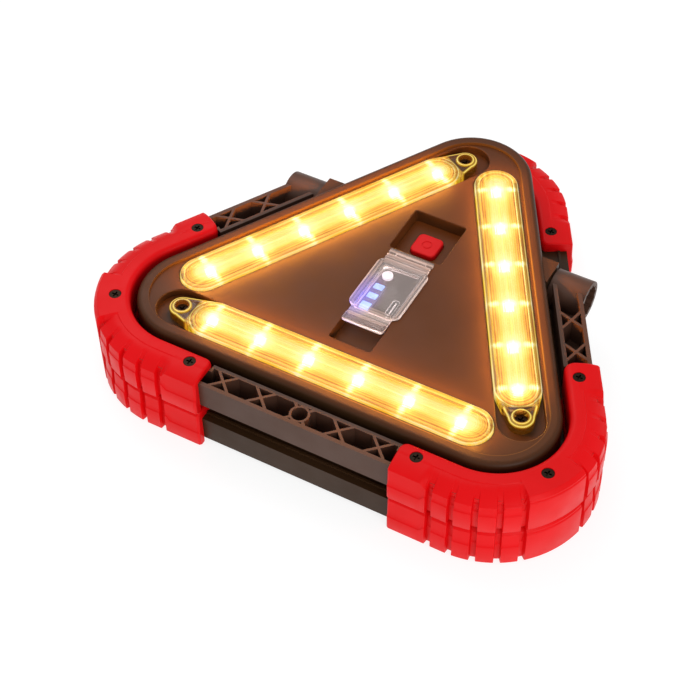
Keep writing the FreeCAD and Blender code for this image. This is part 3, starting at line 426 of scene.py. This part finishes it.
def smooth(x):
    """Zero below 0, one above 1, with an even S between."""
    x = min(1.0, max(0.0, x))
    return x * x * (3 - 2 * x)


def end_round(radius, to_end):
    """How far a rounded end has moved in, `to_end` away from its tip."""
    return radius - math.sqrt(radius ** 2 - (radius - min(radius, to_end)) ** 2)


def loft(bm, rings):
    """A closed shell through successive rings of points, capped at both ends."""
    rows = [[bm.verts.new(p) for p in ring] for ring in rings]
    count = len(rows[0])
    for a, b in zip(rows, rows[1:]):
        for i in range(count):
            j = (i + 1) % count
            bm.faces.new((a[i], a[j], b[j], b[i]))
    bm.faces.new(list(reversed(rows[0])))
    bm.faces.new(rows[-1])


def shell(name, rings):
    bm = bmesh.new()
    loft(bm, rings)
    bmesh.ops.recalc_face_normals(bm, faces=bm.faces)
    mesh = bpy.data.meshes.new(name)
    bm.to_mesh(mesh)
    bm.free()
    piece = bpy.data.objects.new(name, mesh)
    bpy.context.scene.collection.objects.link(piece)
    return piece


def combine(piece, others, operation):
    """Joins the others to the piece (UNION) or takes them away from it (DIFFERENCE)."""
    for other in others:
        modifier = piece.modifiers.new("combine", "BOOLEAN")
        modifier.operation = operation
        modifier.solver = "EXACT"
        modifier.object = other
    bpy.context.view_layer.update()
    depsgraph = bpy.context.evaluated_depsgraph_get()
    piece.data = bpy.data.meshes.new_from_object(piece.evaluated_get(depsgraph))
    piece.modifiers.clear()
    for other in others:
        bpy.data.objects.remove(other)


def finish_piece(piece, material, body, stands_for, angle=32.0):
    """Material and shading, edges sharper than `angle` kept, and the CAD node that it stands for."""
    mesh = piece.data
    mesh.materials.clear()
    mesh.materials.append(material)
    for face in mesh.polygons:
        face.use_smooth = True
    mesh.set_sharp_from_angle(angle=math.radians(angle))
    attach(piece, body)
    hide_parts(stands_for)


ARC_STEP = 7.5                                  # degrees between the points of a rounded corner
DRILL_SIDES = 40


def belt_points(rounds, inset):
    """Points round a belt pulled over circles (x, y, radius), anticlockwise, moved in by `inset`."""
    count = len(rounds)
    normals = []
    for (x1, y1, r1), (x2, y2, r2) in zip(rounds, rounds[1:] + rounds[:1]):
        gap = math.hypot(x2 - x1, y2 - y1)
        normals.append(math.atan2(y2 - y1, x2 - x1) - math.acos((r1 - r2) / gap))
    points = []
    for i in range(count):
        x, y, r = rounds[i]
        first, last = normals[i - 1], normals[i]
        while last < first:
            last += 2 * math.pi
        steps = max(2, int(math.degrees(last - first) / ARC_STEP))
        for k in range(steps + 1):
            angle = first + (last - first) * k / steps
            points.append((x + (r - inset) * math.cos(angle), y + (r - inset) * math.sin(angle)))
    return points


def box_rounds(half, y0, y1, r):
    """The corner circles of a plate `half` wide to either side of the middle."""
    return [(r - half, y0 + r, r), (half - r, y0 + r, r), (half - r, y1 - r, r), (r - half, y1 - r, r)]


def slab(name, rounds, steps, turn=0.0):
    """A shell with one outline; `steps` are (inset, height) from the underside to the top."""
    return shell(name, [[at(x, y, z, turn) for x, y in belt_points(rounds, u)] for u, z in steps])


def drill(x, y, low, high, radius, turn=0.0):
    """A cylinder to take away from a piece."""
    angles = [2 * math.pi * k / DRILL_SIDES for k in range(DRILL_SIDES)]
    ring = [(x + radius * math.cos(a), y + radius * math.sin(a)) for a in angles]
    return shell("drill", [[at(px, py, z, turn) for px, py in ring] for z in (low, high)])


def ridge(name, half, y, z, radius):
    """A rounded bar along X."""
    rings = []
    for x, share in ((-half, 0.5), (-half + 0.12, 0.86), (-half + 0.35, 1.0), (half - 0.35, 1.0),
                     (half - 0.12, 0.86), (half, 0.5)):
        r = radius * share
        rings.append([at(x, y + r * math.cos(math.radians(a)), z + r * math.sin(math.radians(a)))
                      for a in range(0, 360, 20)])
    return shell(name, rings)


# ------------------------------------------------------------------ bumpers

BUMPER_END = 41.8                               # where a bumper's arm stops, from the side's middle
CREST_START, CREST_END = 70.3, 69.2             # reach of the flat crest, from the slope to the inner edge
CAVITY_INSIDE = 67.9                            # reach of the cavity's wall, behind the inner wall
GROOVES = (14.1, 23.4, 32.9, 42.3, 51.3)        # either side of the corner, along the outside
GROOVE_DEEP, GROOVE_HALF, GROOVE_EDGE = 2.0, 1.35, 0.32
SLOPE = 7.4                                     # width of the slope from the tread blocks up to the crest
SHELL_OUTSIDE = 77.6                            # reach of the wall behind the rubber
END_BLOCK = 14.0                                # length of the plain block at each end
SCREW_REACH, SCREW_ALONG, CORNER_SCREW = 71.2, 49.5, 110.0
SCREW_SEAT_RADIUS, SCREW_SEAT_DEPTH = 2.55, 1.6
STAND_BUMPER = dict(low=19.3, high=38.0, plate=35.05, drop=4.0, inner_wall=True, body="stand")
BASE_BUMPER = dict(low=0.0, high=18.8, plate=14.05, inner_wall=False, body="lamp")


def tread_stations(total):
    """Distances along the outside from the corner, closer together at the grooves and the ends."""
    samples = {round(-total + 2 * total * k / 150, 3) for k in range(151)}
    for groove in GROOVES:
        for off in (0.0, 0.98, 1.1, 1.22, 1.35, 1.5):
            samples |= {round(way * groove + sign * off, 3) for way in (1, -1) for sign in (1, -1)}
    for off in (0.0, 0.12, 0.35, 0.7, 1.2, 1.8, 2.5, 3.2):
        samples |= {round(total - off, 3), round(-total + off, 3)}
    stations = []
    for s in sorted(samples):
        near_groove = any(abs(abs(s) - groove) < 1.6 for groove in GROOVES)
        apart = 0.1 if near_groove else 0.3
        if -total <= s <= total and (not stations or s - stations[-1] > apart or total - abs(s) < 1.3):
            stations.append(s)
    return stations


def bumper(name, turn, low, high, plate, drop, inner_wall, body):
    """Rubber cap round a corner: a section swept along the corner, with tread blocks on the outside.

    `plate` is the underside of its top, and `drop` is how far the top falls towards the outer edge over
    the tread blocks."""
    radius = BUMPER_OUTSIDE - ARC_Y
    corner = radius * math.radians(60)
    total = corner + ARC_X - BUMPER_END
    covered = drop < 1.0                        # another bumper lies on top of it
    groove_dip = 0.8 if drop > 3.0 else 1.5

    def station(s):
        """Base point and outward normal where the distance along the outside is s."""
        if abs(s) <= corner:
            angle = math.radians(90) + s / radius
            return (0.0, ARC_AWAY), (math.cos(angle), math.sin(angle))
        way = 1 if s > 0 else -1
        run = abs(s) - corner
        angle = math.radians(90 + 60 * way)
        away = (-way * math.cos(math.radians(60)), -math.sin(math.radians(60)))
        return (away[0] * run, ARC_AWAY + away[1] * run), (math.cos(angle), math.sin(angle))

    def section(s):
        """Outline as (reach, height), from the foot of the outer wall over the top and back under."""
        to_end = total - abs(s)
        groove = max(smooth((GROOVE_HALF - abs(abs(s) - g)) / GROOVE_EDGE) for g in GROOVES)
        past_end_block = smooth((to_end - END_BLOCK) / 1.6)
        middle = smooth((GROOVES[0] - abs(s)) / 1.2)
        shoulder = drop * (0.45 + 0.55 * past_end_block) * (1 - middle)
        top = high - end_round(0.9, to_end)
        inside = BUMPER_INSIDE + end_round(3.0, to_end)
        face = BUMPER_OUTSIDE - end_round(1.2, to_end)
        outside = face - GROOVE_DEEP * groove
        dip = groove_dip * groove
        # the wall: lower facet, small ledge, upper facet leaning in to the brow
        crest = top - shoulder
        brow = crest - dip - (1.5 if covered else 0.5 + 1.1 * middle)
        ledge = low + (high - low) * (0.40 + 0.12 * past_end_block)
        ledge = min(ledge, brow - 1.6) if middle < 0.5 else brow - 1.2 - 3.0 * (1 - middle)
        lean = 0.42 + 0.35 * (1 - middle)
        points = [(outside - 0.7, low), (outside - 0.25, low + 0.25), (outside, low + 0.8),
                  (outside, ledge - 0.6), (outside - 0.06, ledge), (outside - 0.3, ledge + 0.3),
                  (outside - 0.42, ledge + 0.6)]
        for part in (1 / 3, 2 / 3, 1.0):
            points.append((outside - 0.42 - (lean - 0.42) * part, ledge + 0.6 + (brow - ledge - 0.6) * part))
        # chamfer from the brow to the top, then the slope up to the crest
        bevel = 1.3 if covered else 0.45 + 0.95 * middle
        start = outside - lean - bevel
        foot = face - lean - bevel - SLOPE
        points.append((start + bevel * 0.2, brow + 0.88 * (crest - dip - brow)))
        for k in range(14):
            reach = start + (foot - start) * k / 13
            rise = 0.91 * shoulder * (1 - ((reach - foot) / SLOPE) ** 1.9)
            points.append((reach, crest + rise - dip * (1 - k / 13) ** 2.2))
        points += [(foot - 0.3, top), (CREST_START, top), (CREST_END, top - 0.02)]
        # the rounded inner edge, then back along the underside
        for angle in range(0, 91, 15):
            points.append((inside + 2.3 - 2.3 * math.sin(math.radians(angle)),
                           top - 2.3 + 2.3 * math.cos(math.radians(angle))))
        if inner_wall:
            points += [(inside, low + 4.2), (inside + 0.3, low + 3.9),
                       (max(inside + 0.6, CAVITY_INSIDE), low + 3.9),
                       (max(inside + 0.7, CAVITY_INSIDE + 0.05), plate - 0.3),
                       (max(inside + 0.9, CAVITY_INSIDE + 0.35), plate)]
        else:
            points += [(inside, plate + 0.3), (inside + 0.3, plate), (inside + 0.5, plate)]
        return points + [(SHELL_OUTSIDE - 0.3, plate), (SHELL_OUTSIDE, plate - 0.3),
                         (SHELL_OUTSIDE, low + 0.4), (SHELL_OUTSIDE + 0.3, low)]

    rings = []
    for s in tread_stations(total):
        (bx, by), (nx, ny) = station(s)
        rings.append([at(bx + nx * (d - ARC_Y), by + ny * (d - ARC_Y), z, turn) for d, z in section(s)])
    piece = shell(name + "_rubber", rings)
    x, y = on_side(1, SCREW_REACH, SCREW_ALONG)
    seats = [drill(*spot, high - SCREW_SEAT_DEPTH, high + 2.0, SCREW_SEAT_RADIUS, turn)
             for spot in ((x, y), (-x, y), (0.0, CORNER_SCREW))]
    combine(piece, seats, "DIFFERENCE")
    finish_piece(piece, rubber_mat, body, name)


for side_name, turn in (("left", 120.0), ("right", -120.0)):
    bumper("stand_bumper_" + side_name, turn, **STAND_BUMPER)
    bumper("base_bumper_" + side_name, turn, drop=0.5, **BASE_BUMPER)
bumper("base_bumper_top", 0.0, drop=2.4, **BASE_BUMPER)


# ------------------------------------------------------------------ lenses

TAB_SEAT, TAB_SEAT_RADIUS, TAB_SHANK_RADIUS = 34.45, 2.85, 1.65


def lens(side_name, turn):
    """Clear cover of one bar: ribbed crown, hollow underneath, deep screw hole in the tab at the tail."""
    edge = [(0.3, 33.0), (0.0, 33.3), (0.0, 36.7), (0.08, 37.0), (0.3, 37.28), (0.65, 37.46),
            (1.1, 37.54), (1.7, 37.55), (1.95, 37.45)]
    crown = [(2.15, 37.36), (2.4, 37.36), (2.6, 37.46), (2.8, 37.6)]
    inset = 3.05
    while inset < 8.6:
        crown += [(inset, 37.70), (inset + 0.24, 37.82), (inset + 0.45, 37.86), (inset + 0.66, 37.82)]
        inset += RIB_PITCH
    bar = [(BAR_TAIL, -BAR_LINE, BAR_HALF), (BAR_HEAD, -BAR_LINE, BAR_HALF)]
    piece = slab("lens_%s_clear" % side_name, bar, edge + crown + [(8.95, 37.8)], turn)
    wing = slab("wing", [(TAB_TIP, -BAR_LINE, TAB_HALF), (BAR_TAIL, -BAR_LINE, BAR_HALF - 0.05)],
                edge + [(2.15, 37.3)], turn)
    collar = slab("collar", [(TAB_TIP - 0.05, -BAR_LINE, 4.0), (TAB_TIP + 0.05, -BAR_LINE, 4.0)],
                  [(0.2, 35.0), (0.1, 37.4), (0.2, 37.7), (0.5, 37.85), (0.9, 37.85)], turn)
    hollow = slab("hollow", bar, [(1.4, 32.0), (1.4, 35.7), (1.5, 36.1), (2.0, CROWN_UNDER),
                                  (8.9, CROWN_UNDER)], turn)
    combine(piece, [wing, collar], "UNION")
    combine(piece, [hollow, drill(TAB_TIP, -BAR_LINE, TAB_SEAT, 39.0, TAB_SEAT_RADIUS, turn),
                    drill(TAB_TIP, -BAR_LINE, 32.0, 35.0, TAB_SHANK_RADIUS, turn)], "DIFFERENCE")
    finish_piece(piece, lens_painted_glow("lens_" + side_name, turn), "lamp", "lens_" + side_name)


for side_name, turn in SIDE_TURN.items():
    lens(side_name, turn)


# ------------------------------------------------------------------ port cover

def port_cover():
    """One soft moulding: bordered plate, sealing rim, ridged hinge end and a thick pull lip."""
    border = [(0.5, 36.6), (0.12, 36.75), (0.0, 37.0), (0.0, 37.45), (0.14, 37.75), (0.45, 37.95),
              (0.8, 38.0), (1.3, 38.0), (1.65, 37.9), (1.9, 37.68), (2.1, 37.58), (2.35, 37.55)]
    thin = [(0.25, 36.62), (0.0, 36.8), (0.0, 37.15), (0.2, 37.35), (0.5, 37.4)]
    thick = [(0.6, 36.6), (0.15, 36.75), (0.0, 37.05), (0.0, 37.5), (0.2, 37.85), (0.6, 38.0),
             (1.0, 37.95), (1.3, 37.7), (1.4, 37.5)]
    cover = slab("port_cover_soft", box_rounds(COVER_HALF, COVER_NEAR, COVER_FAR, 3.6), border)
    neck = slab("neck", box_rounds(9.9, 11.0, HINGE_RIDGES[1], 0.9), thin)
    tongue = slab("tongue", box_rounds(9.1, -19.4, -12.0, 0.9), thin)
    lip = slab("lip", box_rounds(9.3, LIP_NEAR, LIP_FAR, 1.5), thick)
    ridges = [ridge("ridge", 9.9, y, 37.3, 0.55) for y in HINGE_RIDGES]
    seal = slab("seal", box_rounds(8.6, -14.6, 12.2, 1.1), [(0.1, 35.55), (0.0, 35.7), (0.0, 36.9)])
    hollow = slab("hollow", box_rounds(7.8, -13.8, 11.4, 0.6), [(0.0, 35.0), (0.0, 36.55), (0.3, 36.75)])
    combine(cover, [neck, tongue, lip, seal] + ridges, "UNION")
    combine(cover, [hollow], "DIFFERENCE")
    finish_piece(cover, cover_mat, "cover", "port_cover", 40.0)


port_cover()


# ------------------------------------------------------------------ stage and light

FLOOR_HALF, FLOOR_LEVEL = 6.0, -0.0002          # metres, like the lights' places
LAMP_MIDDLE = (0, 0, 0.02)
AMBER = (1.0, 0.40, 0.05)
STRIP_SIZE, STRIP_LEVEL = (0.124, 0.010), 42.0  # metres, and the height in millimetres
WASH_SIZE, WASH_LEVEL = (0.12, 0.12), 190.0


def make_floor():
    """Pale paper that glows a little, so that it stays near white."""
    bm = bmesh.new()
    for x, y in ((-1, -1), (1, -1), (1, 1), (-1, 1)):
        bm.verts.new((x * FLOOR_HALF, y * FLOOR_HALF, FLOOR_LEVEL))
    bm.faces.new(bm.verts)
    mesh = bpy.data.meshes.new("floor")
    bm.to_mesh(mesh)
    bm.free()
    floor = bpy.data.objects.new("floor", mesh)
    bpy.context.scene.collection.objects.link(floor)
    mat, tree, links, bsdf = new_material("floor_paper")
    links.new(ramp(tree, noise(tree, 2.0), [(0.3, (0.26, 0.26, 0.26)), (0.7, (0.29, 0.29, 0.29))]),
              bsdf.inputs["Base Color"])
    bsdf.inputs["Roughness"].default_value = 0.9
    bsdf.inputs["Emission Color"].default_value = (1.0, 1.0, 1.0, 1.0)
    bsdf.inputs["Emission Strength"].default_value = 0.80
    mesh.materials.append(mat)


def area_light(name, place, target, size, power, color=(1.0, 1.0, 1.0)):
    """A rectangular light at `place` that faces `target`."""
    data = bpy.data.lights.new(name, "AREA")
    data.shape = "RECTANGLE"
    data.size, data.size_y = size
    data.energy = power
    data.color = color
    lamp = bpy.data.objects.new(name, data)
    lamp.location = place
    lamp.rotation_mode = "QUATERNION"
    lamp.rotation_quaternion = (Vector(target) - Vector(place)).to_track_quat("-Z", "Y")
    bpy.context.scene.collection.objects.link(lamp)
    return lamp


def lit_only(name, lamps, nodes):
    """Keeps the light of these lamps to the named pieces."""
    lit = bpy.data.collections.new(name)
    bpy.context.scene.collection.children.link(lit)
    for node in nodes:
        lit.objects.link(NODES[node])
    for lamp in lamps:
        lamp.visible_camera = False
        lamp.visible_transmission = False
        lamp.light_linking.receiver_collection = lit


def bar_glow():
    """The amber light that the bars throw across the housing and the stand round them."""
    wash = area_light("amber_wash", at(0, 5, WASH_LEVEL), at(0, 0, 36), WASH_SIZE, 0.46, AMBER)
    wash.visible_glossy = False
    lit_only("lit_by_haze", [wash], ("front_housing", "lens_screws"))
    strips = []
    middle = (BAR_TAIL + BAR_HEAD) / 2
    for side_name, turn in SIDE_TURN.items():
        strip = area_light("amber_" + side_name, at(middle, -BAR_LINE, STRIP_LEVEL, turn),
                           at(middle, -BAR_LINE, PANEL_TOP, turn), STRIP_SIZE, 0.26, AMBER)
        strip.rotation_quaternion = Matrix.Rotation(math.radians(turn), 3, "Z").to_quaternion()
        strips.append(strip)
    lit_only("lit_by_bars", strips, ("front_housing", "stand_frame", "lens_screws", "rear_housing"))


make_floor()
scene = bpy.context.scene
scene.view_settings.view_transform = "Standard"
world = bpy.data.worlds.new("studio")
scene.world = world
world.use_nodes = True
background = world.node_tree.nodes["Background"]
background.inputs["Color"].default_value = (1.0, 1.0, 1.0, 1.0)
background.inputs["Strength"].default_value = 0.66
area_light("key", (-0.5, 0.35, 0.9), LAMP_MIDDLE, (0.7, 0.7), 3.0)
area_light("fill", (0.75, -0.55, 0.45), LAMP_MIDDLE, (0.5, 0.4), 2.6)
bar_glow()


# ------------------------------------------------------------------ camera

YAW, PITCH, ROLL = math.radians(29.9), math.radians(48.4), math.radians(-1.2)
LOOK_AT, DISTANCE = (2.5, -36.8, 38.0), 669.0
FOCAL_LENGTH, SENSOR_WIDTH = 88.5, 36.0

back = Vector((math.sin(YAW) * math.cos(PITCH), -math.cos(YAW) * math.cos(PITCH), math.sin(PITCH)))
right = Vector((math.cos(YAW), math.sin(YAW), 0))
up = back.cross(right)
cam_x = right * math.cos(ROLL) + up * math.sin(ROLL)
cam_y = up * math.cos(ROLL) - right * math.sin(ROLL)
camera_data = bpy.data.cameras.new("camera")
camera_data.sensor_width = SENSOR_WIDTH
camera_data.lens = FOCAL_LENGTH
camera = bpy.data.objects.new("camera", camera_data)
place = at(*LOOK_AT) + back * DISTANCE * MM
camera.matrix_world = Matrix((
    (cam_x.x, cam_y.x, back.x, place.x), (cam_x.y, cam_y.y, back.y, place.y),
    (cam_x.z, cam_y.z, back.z, place.z), (0, 0, 0, 1)))
scene.collection.objects.link(camera)
scene.camera = camera
